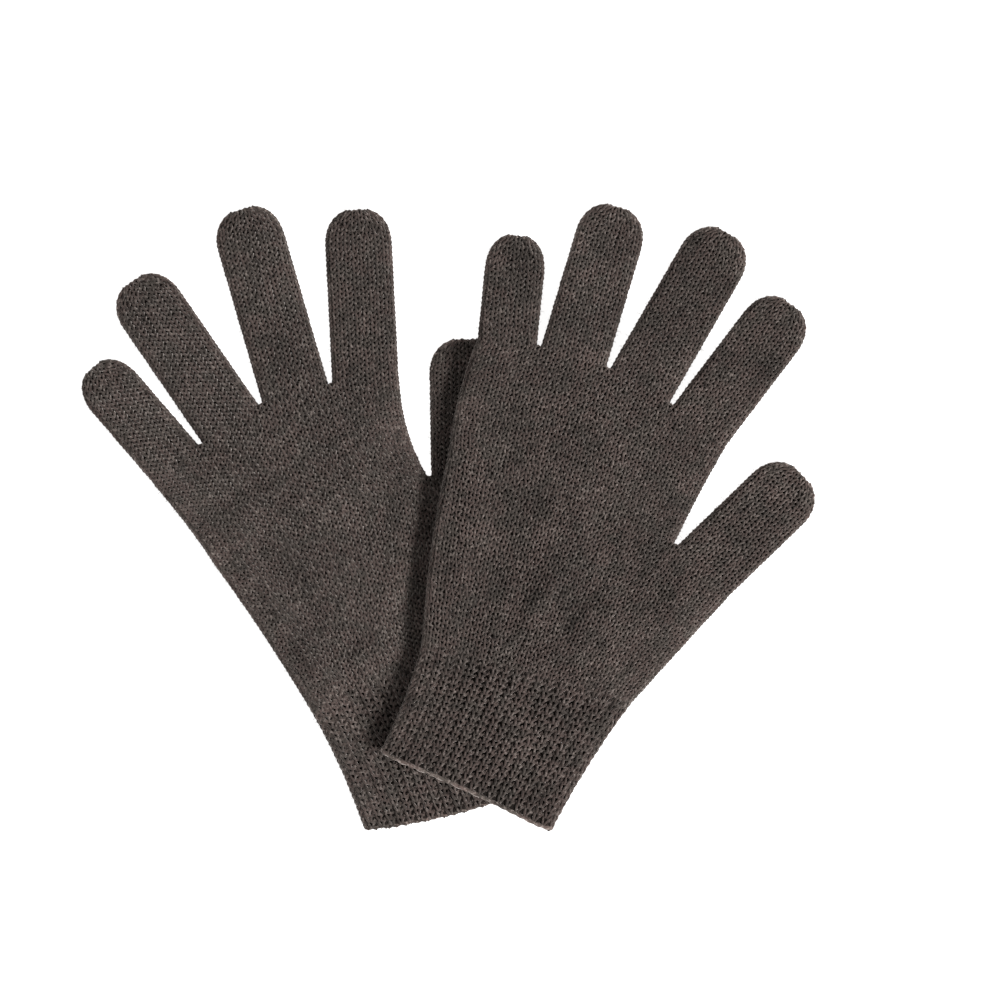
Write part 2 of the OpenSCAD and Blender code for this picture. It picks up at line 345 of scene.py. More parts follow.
class Panel(Tube):
    """A hand or cuff panel between two lines across the glove"""

    def __init__(self, glove, low, high, bows=(0, 0), swell=0.0):
        self.glove = glove
        self.low = np.array(low)
        self.high = np.array(high)
        self.bows = bows
        self.swell = swell
        self.length = np.linalg.norm(self.edge(0.5, 1) - self.edge(0.5, 0))

    def edge(self, u, v):
        at = np.array([u])
        return (along(self.low, at) * (1 - v) + along(self.high, at) * v)[0]

    def width_at(self, v):
        share = np.atleast_1d(v)
        left = self.low[0] * (1 - share[:, None]) + self.high[0] * share[:, None]
        right = self.low[-1] * (1 - share[:, None]) + self.high[-1] * share[:, None]
        return np.linalg.norm(right - left, axis=1)

    def thickness_at(self, v):
        return self.glove.thickness + self.swell + 0 * np.atleast_1d(v)

    def point(self, around, v, out):
        x, z, facing = self.ring(v, around, out)
        u = x / self.width_at(v)
        share = v[:, None]
        plan = along(self.low, u) * (1 - share) + along(self.high, u) * share
        bow = 4 * v * (1 - v) * (u * self.bows[1] - (1 - u) * self.bows[0])
        plan[:, 0] += bow
        return self.glove.place(plan, z + self.swell / 2, facing)


class Digit(Tube):
    """A finger or thumb: v runs from its root to its rounded tip, in metres"""

    end_reach = 0.3 * MM

    def __init__(self, glove, k):
        self.glove = glove
        self.k = k
        spread = glove.lay["spread"][k]
        self.across, self.ahead = across(spread), ahead(spread)
        self.corner = glove.thumb_crotch if k == THUMB else glove.knuckles[k]
        self.width = glove.widths[k] - 2 * SIDE_GAP * MM
        self.whole = glove.lengths[k]
        self.length = self.whole - LOOP_DEPTH * MM
        self.round = glove.sizes.tip_round
        self.bend = self.whole / 2

    def tip_share(self, v):
        """0 where the tip begins to round off, and nearly 1 at its end."""
        return TIP_REACH * np.clip((v - (self.length - self.round)) / self.round, 0, 1)

    def width_at(self, v):
        return self.width * np.maximum(TIP_SHARE, (1 - self.tip_share(v) ** 2) ** TIP_POWER)

    def thickness_at(self, v):
        return self.glove.thickness * (1 - TIP_THIN * self.tip_share(v) ** 2)

    def point(self, around, v, out):
        x, z, facing = self.ring(v, around, out)
        middle = self.glove.widths[self.k] / 2
        shift = x - self.width_at(v) / 2
        plan = self.corner + (middle + shift)[:, None] * self.across + v[:, None] * self.ahead
        return self.glove.place(plan, z, facing)

    def centre(self, v, z=0.0):
        """Point on the digit's middle line, at a height over its middle layer."""
        plan = (self.corner + self.glove.widths[self.k] / 2 * self.across + v * self.ahead)[None, :]
        p = self.glove.in_pair(plan)
        return Vector((p[0][0], p[0][1], float(self.glove.middle_height(p)[0]) + z))


# --- yarn ---
# One stitch: its points, its swing sideways in wales, upward in courses and outward in yarns
LOOP_POINTS = 8
LOOP_WAIST = 0.29
LOOP_REACH = 0.72
LOOP_DEPTH_SHARE = 0.62


def loop_path(count):
    """One course of plain stitches: along (in wales), up (in courses) and out (in yarns)."""
    t = np.arange(LOOP_POINTS) / LOOP_POINTS
    base = np.repeat(np.arange(count), LOOP_POINTS)
    t = np.tile(t, count)
    sideways = t + LOOP_WAIST * np.sin(4 * math.pi * t)
    upward = -LOOP_REACH * np.cos(2 * math.pi * t)
    outward = -LOOP_DEPTH_SHARE * np.cos(4 * math.pi * t)
    return base, sideways, upward, outward


class YarnCurve:
    """Collects closed and open runs of yarn in one curve object and turns it into a mesh."""

    def __init__(self, name, thickness):
        self.curve = bpy.data.curves.new(name, "CURVE")
        self.curve.dimensions = "3D"
        self.curve.bevel_depth = thickness / 2
        self.curve.bevel_resolution = 0
        self.curve.use_fill_caps = True
        self.name = name

    def add(self, points, closed=True, radii=None):
        spline = self.curve.splines.new("POLY")
        spline.points.add(len(points) - 1)
        packed = np.column_stack([points, np.ones(len(points))])
        spline.points.foreach_set("co", packed.ravel().astype(np.float32))
        if radii is not None:
            spline.points.foreach_set("radius", np.asarray(radii, np.float32))
        spline.use_cyclic_u = closed
        spline.use_smooth = True

    def mesh(self):
        thing = bpy.data.objects.new(self.name, self.curve)
        bpy.context.scene.collection.objects.link(thing)
        graph = bpy.context.evaluated_depsgraph_get()
        made = bpy.data.meshes.new_from_object(thing.evaluated_get(graph))
        bpy.data.objects.remove(thing)
        bpy.data.curves.remove(self.curve)
        return made


# The rib: how much wider a raised wale is than a sunken one, and how far it stands out, in yarns
RIB_KNIT_SHARE = 0.56
RIB_RIDGE = 0.55
# How far the yarn lies under the fabric's middle, and the lining under the yarn, in yarns
YARN_SINK = 0.28
LINING_SINK = 0.5
RIB_LINING_SINK = 0.85
# How much the stitches flatten at a tube's two edges, and how closely that keeps to the edges
EDGE_CALM = 0.6
EDGE_CALM_POWER = 6
# Unevenness of the stitches: sideways in wales, upward as a share and outward in yarns
UNEVEN = (0.06, 0.09, 0.1)
# Loose fibres: how many for each stitch, how evenly round the tube, and how close to its edges
FIBRE_SHARE = 0.5
FIBRE_SPREAD = 0.12
FIBRE_EDGE_POWER = 8
# Each fibre's shortest and longest reach, its lean, how much it stands up, its pull outward and its taper
FIBRE_REACH = (0.5, 1.3)
FIBRE_LEAN = 0.8
FIBRE_LIFT = 3
FIBRE_PULL = 0.4
FIBRE_TAPER = (1, 0.9, 0.4)


class Knitter:
    """Lays courses of yarn on a tube, with the small unevenness of real stitches."""

    def __init__(self, name, thickness, seed):
        self.yarn = YarnCurve(name, thickness)
        self.thickness = thickness
        self.random = np.random.default_rng(seed)
        self.fibre = bpy.context.scene.yarn_sizes.fibre

    def course(self, tube, v, rise, count, rib=0.0):
        """One closed row of stitches at v; rise is the distance to the next row, as v counts it.

        rib is how far every other wale has sunk behind its neighbours, from 0 to 1.
        """
        base, sideways, upward, outward = loop_path(count)
        if rib:
            purl = base % 2 == 1
            knit = 1 + RIB_KNIT_SHARE * rib
            wale = np.where(purl, knit + (2 - knit) * sideways, knit * sideways)
            wale = wale + base - base % 2
            ridge = RIB_RIDGE * rib * np.cos(math.pi * (wale - knit / 2))
            outward = np.where(purl, -outward, outward) + ridge - RIB_RIDGE * rib / 2
        else:
            wale = base + sideways
        jitter = self.random.normal(0, 1, (3, count))
        wale = wale + UNEVEN[0] * jitter[0][base]
        upward = upward * (1 + UNEVEN[1] * jitter[1][base])
        # The stitches flatten where the fabric turns round the tube's two edges
        calm = 1 - EDGE_CALM * np.cos(2 * math.pi * wale / count) ** EDGE_CALM_POWER
        outward = (outward + UNEVEN[2] * jitter[2][base]) * calm
        out = (outward - YARN_SINK) * self.thickness
        vs = v + upward * rise
        points = tube.point(wale / count, vs, out)
        self.yarn.add(points)
        self.loose_fibres(points, wale / count)

    def loose_fibres(self, points, around):
        """Short fibres that stand off the stitches of one row, most of them at the tube's two edges."""
        at_edge = FIBRE_SPREAD + np.cos(2 * math.pi * around) ** FIBRE_EDGE_POWER
        count = int(len(points) / LOOP_POINTS * FIBRE_SHARE)
        chosen = self.random.choice(len(points), count, replace=False, p=at_edge / at_edge.sum())
        middle = points.mean(axis=0)
        for i in chosen:
            root = points[i]
            away = root - middle
            away[2] *= FIBRE_LIFT
            away /= max(np.linalg.norm(away), 1e-9)
            lean = self.random.normal(0, FIBRE_LEAN, (2, 3))
            half = self.random.uniform(*FIBRE_REACH) * MM / 2
            bent = root + (away + lean[0]) * half + away * self.thickness * FIBRE_PULL
            tip = bent + (away * FIBRE_PULL + lean[1]) * half
            spline = np.array([root, bent, tip])
            spline[:, 2] = np.maximum(spline[:, 2], self.fibre)
            radii = np.array(FIBRE_TAPER) * self.fibre / self.thickness
            self.yarn.add(spline, closed=False, radii=radii)

    def mesh(self):
        return self.yarn.mesh()


# --- the thin inner side of the fabric, coloured dark as painted shade between the loops ---
WALL = 0.6
# Corners of the lining nearer than this are one
WELD = 0.02


def lining_mesh(tube, rows, columns, closed_end=False):
    """A thin closed wall behind the yarn; each row is a distance along the tube and a distance out."""
    outer = [(v, out, 0) for v, out in rows]
    inner = [(v, out - WALL * MM, 0) for v, out in reversed(rows)]
    if closed_end:
        end, out = rows[-1]
        outer.append((end + tube.end_reach, out, 1))
        inner.insert(0, (end, out, 1))
    table = np.array(outer + inner + outer[:1])
    bm = bmesh.new()
    bmesh.ops.create_grid(bm, x_segments=columns, y_segments=len(table) - 1, size=0.5)
    ordered = sorted(bm.verts, key=lambda vertex: (round(vertex.co.y, 6), round(vertex.co.x, 6)))
    co = np.array([vertex.co for vertex in ordered])
    index = np.arange(len(ordered)) // (len(ordered) // len(table))
    vs, outs, closing = table[index, 0], table[index, 1], table[index, 2]
    radius = tube.thickness_at(vs) / 2 - tube.glove.sizes.fabric / 2
    placed = tube.point(co[:, 0] + 0.5, vs, np.where(closing > 0, -radius, outs))
    for vertex, point in zip(ordered, placed):
        vertex.co = point
    bmesh.ops.remove_doubles(bm, verts=bm.verts, dist=WELD * MM)
    bmesh.ops.recalc_face_normals(bm, faces=bm.faces)
    for face in bm.faces:
        face.smooth = True
    mesh = bpy.data.meshes.new("lining")
    bm.to_mesh(mesh)
    bm.free()
    return mesh


def spaced(start, end, step):
    count = max(1, round(abs(end - start) / step))
    return [start + (end - start) * i / count for i in range(count + 1)]


# --- pieces ---
BODY_OF = {n: body for body, nodes in frame["record"]["behaviour"]["bodies"].items() for n in nodes}


def glove(side):
    return Glove(side, bpy.context.scene.glove_sizes)


def join_meshes(name, meshes, materials):
    """One mesh of several, each with its own material."""
    bm = bmesh.new()
    for i, mesh in enumerate(meshes):
        before = len(bm.faces)
        bm.from_mesh(mesh)
        bm.faces.ensure_lookup_table()
        for face in bm.faces[before:]:
            face.material_index = i
        bpy.data.meshes.remove(mesh)
    joined = bpy.data.meshes.new(name)
    bm.to_mesh(joined)
    bm.free()
    for material in materials:
        joined.materials.append(material)
    return joined


def add_piece(node, meshes, materials, fold=None):
    """Links a piece that stands for one CAD node and hides that node; with a fold (body before, start, end)
    it is baked in place instead of being attached to a body, and the fold's body and ends are not used.
    """
    name = node + "_knit"
    piece = bpy.data.objects.new(name, join_meshes(name, meshes, materials))
    bpy.context.scene.collection.objects.link(piece)
    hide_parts(node)
    if fold:
        before, start, end = fold
        tuple(start)
        tuple(end)
        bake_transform(piece)
    else:
        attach(piece, BODY_OF[node])
    return piece


def seed_of(*words):
    return sum(ord(letter) * (i + 7) for i, letter in enumerate("".join(words)))


# Stitches round each tube
WALES = {"little": 18, "ring": 20, "middle": 20, "index": 20, "thumb": 20, "upper_hand": 74, "lower_hand": 88}
RIB_WALES = 80
# The hand's rows are this much higher than a digit's
HAND_COURSE_SHARE = 1.03
# How far a tip's last row ends below the very tip, and its lining below the end of the tube
TIP_EDGE = 0.9
LINING_SHORT = 0.6
# How far a digit's lining reaches down into the hand
ROOT_TUCK = 0.5
# Length of a fold at a digit's root and on each side of its middle, and the most of half a digit each takes
ROOT_FOLD_RUN = 10
ROOT_FOLD_SHARE = 0.45
MIDDLE_FOLD_RUN = 8
MIDDLE_FOLD_SHARE = 0.38
# Points on half the chain round a tip, where it starts as a share of the rounding, and how far inside
# the outline it lies
CHAIN_STEPS = 15
CHAIN_START = 0.85
CHAIN_INSET = 0.9
# One link of the chain: its points, the yarn as a share, its pitch in wales, its swing in yarns, how much
# of that goes along and across, and how far it swings above and below the middle layer
LINK_POINTS = 6
LINK_YARN = 0.8
LINK_PITCH = 0.95
LINK_SWING = 0.34
LINK_ALONG = 0.8
LINK_ACROSS = 0.5
LINK_HEIGHT = 1.1
LEAST_LINKS = 6


def digit_cut(digit, course):
    """Where a digit's lower piece ends and its upper one starts, in whole courses."""
    root_end = min(ROOT_FOLD_RUN * MM, ROOT_FOLD_SHARE * digit.bend)
    fold_start = digit.bend - min(MIDDLE_FOLD_RUN * MM, MIDDLE_FOLD_SHARE * digit.bend)
    return root_end, fold_start, round((root_end + fold_start) / 2 / course)


def knit_digit_lower(side, k):
    yarn = bpy.context.scene.yarn_sizes
    digit = Digit(glove(side), k)
    name = DIGITS[k]
    root_end, _, cut = digit_cut(digit, yarn.course)
    node = f"{side}_{name}_lower"
    knitter = Knitter(node, yarn.yarn, seed_of(node))
    for row in range(cut):
        knitter.course(digit, (row + 0.5) * yarn.course, yarn.course, WALES[name])
    out = -(YARN_SINK + LINING_SINK) * yarn.yarn
    rows = [(v, out) for v in spaced(-ROOT_TUCK * MM, cut * yarn.course, yarn.course)]
    lining = lining_mesh(digit, rows, 2 * WALES[name])
    fold = None
    if BODY_OF[node] != BODY_OF[f"{side}_{name}_upper"]:
        fold = (f"{side}_hand", digit.centre(0), digit.centre(root_end))
    add_piece(node, [knitter.mesh(), lining], [material("plain"), material("inner")], fold)


def knit_digit_upper(side, k):
    yarn = bpy.context.scene.yarn_sizes
    digit = Digit(glove(side), k)
    name = DIGITS[k]
    _, fold_start, cut = digit_cut(digit, yarn.course)
    node = f"{side}_{name}_upper"
    knitter = Knitter(node, yarn.yarn, seed_of(node))
    start = cut * yarn.course
    reach = digit.whole - TIP_EDGE * MM - start
    count = round(reach / yarn.course)
    rise = reach / count
    for row in range(count):
        v = start + (row + 0.5) * rise
        knitter.course(digit, v, rise, digit.stitches_at(v, WALES[name]))
    out = -(YARN_SINK + LINING_SINK) * yarn.yarn
    end = digit.length - LINING_SHORT * MM
    rows = [(v, out) for v in spaced(start, end, yarn.course / 2)]
    lining = lining_mesh(digit, rows, 2 * WALES[name], closed_end=True)
    fold = None
    before = BODY_OF[f"{side}_{name}_lower"]
    if BODY_OF[node] != before:
        fold = (before, digit.centre(fold_start), digit.centre(2 * digit.bend - fold_start))
    add_piece(node, [knitter.mesh(), lining], [material("plain"), material("inner")], fold)


def knit_closing(side, k):
    """The linked loops that close a tip: a chain of small knots along the tip's rounded edge."""
    yarn = bpy.context.scene.yarn_sizes
    digit = Digit(glove(side), k)
    node = f"{side}_{DIGITS[k]}_closing"
    knitter = Knitter(node, yarn.yarn * LINK_YARN, seed_of(node))
    begin = digit.length - CHAIN_START * digit.round
    top = digit.whole - TIP_EDGE * MM
    outline = []
    for i in range(CHAIN_STEPS):
        v = begin + (top - begin) * math.sin(math.pi / 2 * i / (CHAIN_STEPS - 1))
        outline.append((float(digit.width_at(np.array([v]))[0]) / 2 - CHAIN_INSET * MM, v))
    path = np.array([(-half, v) for half, v in outline] + [(half, v) for half, v in reversed(outline)])
    length = np.linalg.norm(np.diff(path, axis=0), axis=1).sum()
    links = max(LEAST_LINKS, round(length / (LINK_PITCH * yarn.wale)))
    points = links * LINK_POINTS
    on_path = along(path, np.linspace(0, 1, points))
    t = np.arange(points) / LINK_POINTS
    swing = LINK_SWING * yarn.yarn
    middle = digit.glove.widths[k] / 2
    forward = on_path[:, 1] + swing * np.cos(2 * math.pi * t) * LINK_ALONG
    sideways = on_path[:, 0] + swing * np.sin(4 * math.pi * t) * LINK_ACROSS
    plan = digit.corner + (middle + sideways)[:, None] * digit.across + forward[:, None] * digit.ahead
    z = LINK_HEIGHT * MM * np.sin(2 * math.pi * t)
    knitter.yarn.add(digit.glove.place(plan, z, 0 * z), closed=False)
    # The chain is in the edge yarn, painted brighter than the rest as a painted rim highlight along the tip
    add_piece(node, [knitter.mesh()], [material("edge")])


def knit_panel(side, part, panel, looks, count, pitch, yarn_size, rib=0, fold=None, wall=False):
    """A hand or cuff panel: whole courses from its low line to its high line, over its lining."""
    node = f"{side}_{part}"
    knitter = Knitter(node, yarn_size, seed_of(node))
    courses = round(panel.length / pitch)
    for row in range(courses):
        v = (row + 0.5) / courses
        depth = rib * min(1, (courses - row) / RIB_EASE)
        stitches = count if rib else panel.stitches_at(v, count, full=1)
        knitter.course(panel, v, 1 / courses, stitches, depth)
    out = -(YARN_SINK + (RIB_LINING_SINK if rib else LINING_SINK)) * yarn_size
    rows = [(v, out) for v in spaced(-0.01, 1.0, 1 / courses)]
    lining = lining_mesh(panel, rows, count, closed_end=wall)
    add_piece(node, [knitter.mesh(), lining], [material(looks), material("inner")], fold)


def knit_upper_hand(side):
    yarn, plan = bpy.context.scene.yarn_sizes, glove(side)
    bows = (plan.lay["outer_bow"] * MM / 2, plan.lay["inner_bow"] * MM)
    panel = Panel(plan, [plan.seam_left, plan.thumb_crotch], plan.knuckles, bows)
    pitch = yarn.course * HAND_COURSE_SHARE
    knit_panel(
        side, "upper_hand", panel, "plain", WALES["upper_hand"], pitch, yarn.yarn, wall=True
    )


def knit_lower_hand(side):
    yarn, plan = bpy.context.scene.yarn_sizes, glove(side)
    bows = (plan.lay["outer_bow"] * MM / 2, 0)
    high = [plan.seam_left, plan.thumb_crotch, plan.thumb_corner]
    panel = Panel(plan, plan.wrist, high, bows)
    pitch = yarn.course * HAND_COURSE_SHARE
    knit_panel(
        side, "lower_hand", panel, "plain", WALES["lower_hand"], pitch, yarn.yarn, wall=True
    )


def cuff_line(plan, distance):
    """Points across the cuff at a distance from its mouth, measured along the cuff."""
    mouth, wrist = np.array(plan.mouth), along(plan.wrist, np.array(MOUTH_SHARES))
    return mouth + (wrist - mouth) * distance / plan.sizes.cuff_length


# Length of the fold line laid from the wrist towards the cuff's mouth
WRIST_FOLD_RUN = 16
# How far the ribs end from the mouth: the left ones show as scallops, the right ones turn under a strand
MOUTH_EDGE = {"left": 0.4, "right": 1.6}
# Courses over which the rib flattens into the plain hand
RIB_EASE = 3


def knit_cuff(side):
    yarn, plan = bpy.context.scene.yarn_sizes, glove(side)
    low = cuff_line(plan, MOUTH_EDGE[side] * MM)
    panel = Panel(plan, low, plan.wrist, (-CUFF_WAIST * MM, -CUFF_WAIST * MM))
    fold = None
    node = f"{side}_cuff"
    if BODY_OF[node] != f"{side}_hand":
        wrist = plan.in_pair(np.array([(plan.wrist[0] + plan.wrist[1]) / 2]))[0]
        mouth = plan.in_pair(np.array([(plan.mouth[0] + plan.mouth[-1]) / 2]))[0]
        z = plan.cover + plan.thickness / 2
        start = Vector((wrist[0], wrist[1], z))
        towards = (Vector((mouth[0], mouth[1], z)) - start).normalized()
        fold = (f"{side}_hand", start, start + towards * WRIST_FOLD_RUN * MM)
    knit_panel(
        side, "cuff", panel, "rib", RIB_WALES, yarn.rib_course, yarn.rib_yarn, rib=1, fold=fold
    )


# A hem's strands: how far inside the fabric's middle they lie, and how far they draw in at the corners
HEM_DEPTH = {"left": 1.0, "right": 0.25}
HEM_CORNER = {"left": 0.1, "right": 0.3}
HEM_CORNER_POWER = 40
# The strands' yarn as a share, their points for each wale and wales for each turn, their place along the
# hem and swing there as shares of its length, and their lift
STRAND_YARN = 1.2
STRAND_POINTS = 4
STRAND_WALES = 4
STRAND_PLACE = 0.17
STRAND_SWING = 0.07
STRAND_LIFT = 0.25
# Rows of the hem's lining as shares of its length, how much deeper the first one lies, and how far the
# others lie under the fabric's middle, in yarns
HEM_ROWS = (0.1, 0.15, 0.6, 1.05)
HEM_TURN = 0.5
HEM_LINING_SINK = 0.5


def knit_hem(side):
    """The rolled edge at the mouth: two twisted strands round it, over its lining."""
    yarn, plan = bpy.context.scene.yarn_sizes, glove(side)
    panel = Panel(plan, plan.mouth, cuff_line(plan, plan.sizes.hem_length))
    node = f"{side}_hem"
    knitter = Knitter(node, STRAND_YARN * yarn.yarn, seed_of(node))
    points = RIB_WALES * STRAND_POINTS
    around = np.arange(points) / points
    corner = HEM_CORNER[side] * np.abs(np.cos(2 * math.pi * around)) ** HEM_CORNER_POWER
    for strand in (0, 0.5):
        turn = 2 * math.pi * (RIB_WALES / STRAND_WALES * around + strand)
        v = STRAND_PLACE + STRAND_SWING * np.cos(turn) + corner
        out = (STRAND_LIFT * np.sin(turn) - HEM_DEPTH[side]) * MM
        knitter.yarn.add(panel.point(around, v, out))
    out = -HEM_LINING_SINK * yarn.yarn
    rows = [(HEM_ROWS[0], out - HEM_TURN * MM)] + [(v, out) for v in HEM_ROWS[1:]]
    lining = lining_mesh(panel, rows, RIB_WALES)
    # The strands are in the edge yarn, painted brighter than the rest as a painted rim highlight along the
    # mouth
    add_piece(node, [knitter.mesh(), lining], [material("edge"), material("inner")])


# --- materials ---
def new_group(name, inputs, outputs):
    group = bpy.data.node_groups.new(name, "ShaderNodeTree")
    for label, kind, default in inputs:
        socket = group.interface.new_socket(label, in_out="INPUT", socket_type=kind)
        socket.default_value = default
    for label, kind in outputs:
        group.interface.new_socket(label, in_out="OUTPUT", socket_type=kind)
    return group, group.nodes.new("NodeGroupInput"), group.nodes.new("NodeGroupOutput")


def add_node(tree, kind, **values):
    node = tree.nodes.new(kind)
    for key, value in values.items():
        setattr(node, key, value)
    return node


def noise_node(tree, where, scale, detail=3.0):
    node = tree.nodes.new("ShaderNodeTexNoise")
    node.inputs["Detail"].default_value = detail
    node.inputs["Scale"].default_value = scale
    tree.links.new(where, node.inputs["Vector"])
    return node.outputs["Fac"]


def ranged(tree, value, low, high, to_low=0.0, to_high=1.0):
    node = tree.nodes.new("ShaderNodeMapRange")
    tree.links.new(value, node.inputs["Value"])
    for label, number in (("From Min", low), ("From Max", high), ("To Min", to_low), ("To Max", to_high)):
        node.inputs[label].default_value = number
    return node.outputs["Result"]


def mixed(tree, amount, first, second, blend="MIX"):
    """first and second mixed as colours; each is a socket."""
    node = add_node(tree, "ShaderNodeMix", data_type="RGBA", blend_type=blend)
    tree.links.new(amount, node.inputs["Factor"])
    tree.links.new(first, node.inputs["A"])
    tree.links.new(second, node.inputs["B"])
    return node.outputs["Result"]


def heather_group():
    """Colour of heather yarn: dark and light fibres in patches, and a slow drift of tone."""
    found = bpy.data.node_groups.get("Heather")
    if found:
        return found
    colour, number = "NodeSocketColor", "NodeSocketFloat"
    inputs = [
        ("Dark", colour, (0, 0, 0, 1)),
        ("Body", colour, (0.1, 0.1, 0.1, 1)),
        ("Light", colour, (0.3, 0.3, 0.3, 1)),
        ("Cool", colour, (0.1, 0.1, 0.1, 1)),
        ("Light Share", number, 0.5),
    ]
    group, into, out = new_group("Heather", inputs, [("Color", colour)])
    where = add_node(group, "ShaderNodeTexCoord").outputs["Object"]
    fleck = noise_node(group, where, 520, 5.0)
    dark = ranged(group, fleck, 0.47, 0.33)
    light = ranged(group, noise_node(group, where, 700, 4.0), 0.52, 0.70)
    share = add_node(group, "ShaderNodeMath", operation="MULTIPLY")
    group.links.new(light, share.inputs[0])
    group.links.new(into.outputs["Light Share"], share.inputs[1])
    cool = ranged(group, noise_node(group, where, 150, 3.0), 0.42, 0.60)
    mix = mixed(group, cool, into.outputs["Body"], into.outputs["Cool"])
    mix = mixed(group, dark, mix, into.outputs["Dark"])
    mix = mixed(group, share.outputs[0], mix, into.outputs["Light"])
    drift = ranged(group, noise_node(group, where, 60, 3.0), 0.3, 0.7, 0.70, 1.24)
    tone = add_node(group, "ShaderNodeVectorMath", operation="SCALE")
    group.links.new(mix, tone.inputs[0])
    group.links.new(drift, tone.inputs["Scale"])
    group.links.new(tone.outputs[0], out.inputs["Color"])
    return group


def fibre_group():
    """Height of the fine fibres that make yarn look soft."""
    found = bpy.data.node_groups.get("Fibres")
    if found:
        return found
    number = "NodeSocketFloat"
    group, into, out = new_group("Fibres", [("Fineness", number, 1.0)], [("Height", number)])
    where = add_node(group, "ShaderNodeTexCoord").outputs["Object"]
    size = add_node(group, "ShaderNodeVectorMath", operation="SCALE")
    group.links.new(where, size.inputs[0])
    group.links.new(into.outputs["Fineness"], size.inputs["Scale"])
    group.links.new(noise_node(group, size.outputs[0], 2600, 4.0), out.inputs["Height"])
    return group


def rgba(colour, gain=1.0):
    return (colour[0] * gain, colour[1] * gain, colour[2] * gain, 1)


def yarn_material(name, gain, light_share, bump):
    colours = bpy.context.scene.yarn_colours
    made = bpy.data.materials.new(name)
    made.use_nodes = True
    tree = made.node_tree
    shader = tree.nodes["Principled BSDF"]
    heather = add_node(tree, "ShaderNodeGroup", node_tree=heather_group())
    heather.inputs["Dark"].default_value = rgba(colours.dark, gain)
    heather.inputs["Body"].default_value = rgba(colours.body, gain)
    heather.inputs["Light"].default_value = rgba(colours.light, gain)
    heather.inputs["Cool"].default_value = rgba(colours.cool, gain)
    heather.inputs["Light Share"].default_value = light_share
    tree.links.new(heather.outputs["Color"], shader.inputs["Base Color"])
    shader.inputs["Roughness"].default_value = 0.9
    shader.inputs["Specular IOR Level"].default_value = 0.2
    shader.inputs["Sheen Weight"].default_value = 0.6
    shader.inputs["Sheen Tint"].default_value = (1, 0.9, 0.84, 1)
    shader.inputs["Sheen Roughness"].default_value = 0.45
    fibres = add_node(tree, "ShaderNodeGroup", node_tree=fibre_group())
    height = add_node(tree, "ShaderNodeBump")
    height.inputs["Strength"].default_value = bump
    height.inputs["Distance"].default_value = 0.12 * MM
    tree.links.new(fibres.outputs["Height"], height.inputs["Height"])
    tree.links.new(height.outputs["Normal"], shader.inputs["Normal"])
    return made


# Name, gain of the colours, share of light fibres and strength of the fibre bump
MATERIALS = {
    "plain": ("Plain knit yarn", 1.0, 0.75, 0.6),
    "rib": ("Ribbed cuff yarn", 0.97, 0.8, 0.6),
    # The edge yarn is the same yarn painted nearly twice as bright: a painted highlight for the bright rim at
    # the tips and the cuff's mouth
    "edge": ("Edge yarn with painted rim light", 1.9, 0.9, 0.6),
}


# The inner side takes the yarn's heather at a fraction of its brightness: painted shade between the loops
def shaded_inner_material():
    made = bpy.data.materials.new("Inner side of the fabric in painted shade")
    made.use_nodes = True
    tree = made.node_tree
    shader = tree.nodes["Principled BSDF"]
    inner = rgba(bpy.context.scene.yarn_colours.inner)
    heather = add_node(tree, "ShaderNodeGroup", node_tree=heather_group())
    heather.inputs["Dark"].default_value = rgba(inner, 0.5)
    heather.inputs["Body"].default_value = inner
    heather.inputs["Light"].default_value = rgba(inner, 1.6)
    heather.inputs["Cool"].default_value = inner
    tree.links.new(heather.outputs["Color"], shader.inputs["Base Color"])
    shader.inputs["Roughness"].default_value = 0.95
    shader.inputs["Specular IOR Level"].default_value = 0.1
    return made


def material(key):
    name = MATERIALS[key][0] if key in MATERIALS else "Inner side of the fabric in painted shade"
    found = bpy.data.materials.get(name)
    if found:
        return found
    return shaded_inner_material() if key == "inner" else yarn_material(*MATERIALS[key])


# --- stage, with lengths in metres ---
FRAME_WIDTH = 0.38
CAMERA_HEIGHT = 1.25
VIEW_CENTRE = (0.0646, 0.0228)
# Width of the camera's sensor in millimetres
SENSOR = 36
# Half the table's width, and how far it lies under the lowest point of the gloves, in millimetres
TABLE_REACH = 3.0
TABLE_GAP = 0.3
FLOOR_GLOW = 0.9
WORLD_STRENGTH = 0.2
# Each soft light: place, watts and size
LIGHTS = {"key": ((0.97, -0.60, 1.15), 21, 0.5), "fill": ((-0.5, 1.1, 1.2), 3, 1.0)}


def add_light(name, place, aim, watts, size):
    light = bpy.data.lights.new(name, "AREA")
    light.energy = watts
    light.shape = "DISK"
    light.size = size
    thing = bpy.data.objects.new(name, light)
    thing.location = place
    thing.rotation_euler = (Vector(aim) - Vector(place)).to_track_quat("-Z", "Y").to_euler()
    bpy.context.scene.collection.objects.link(thing)


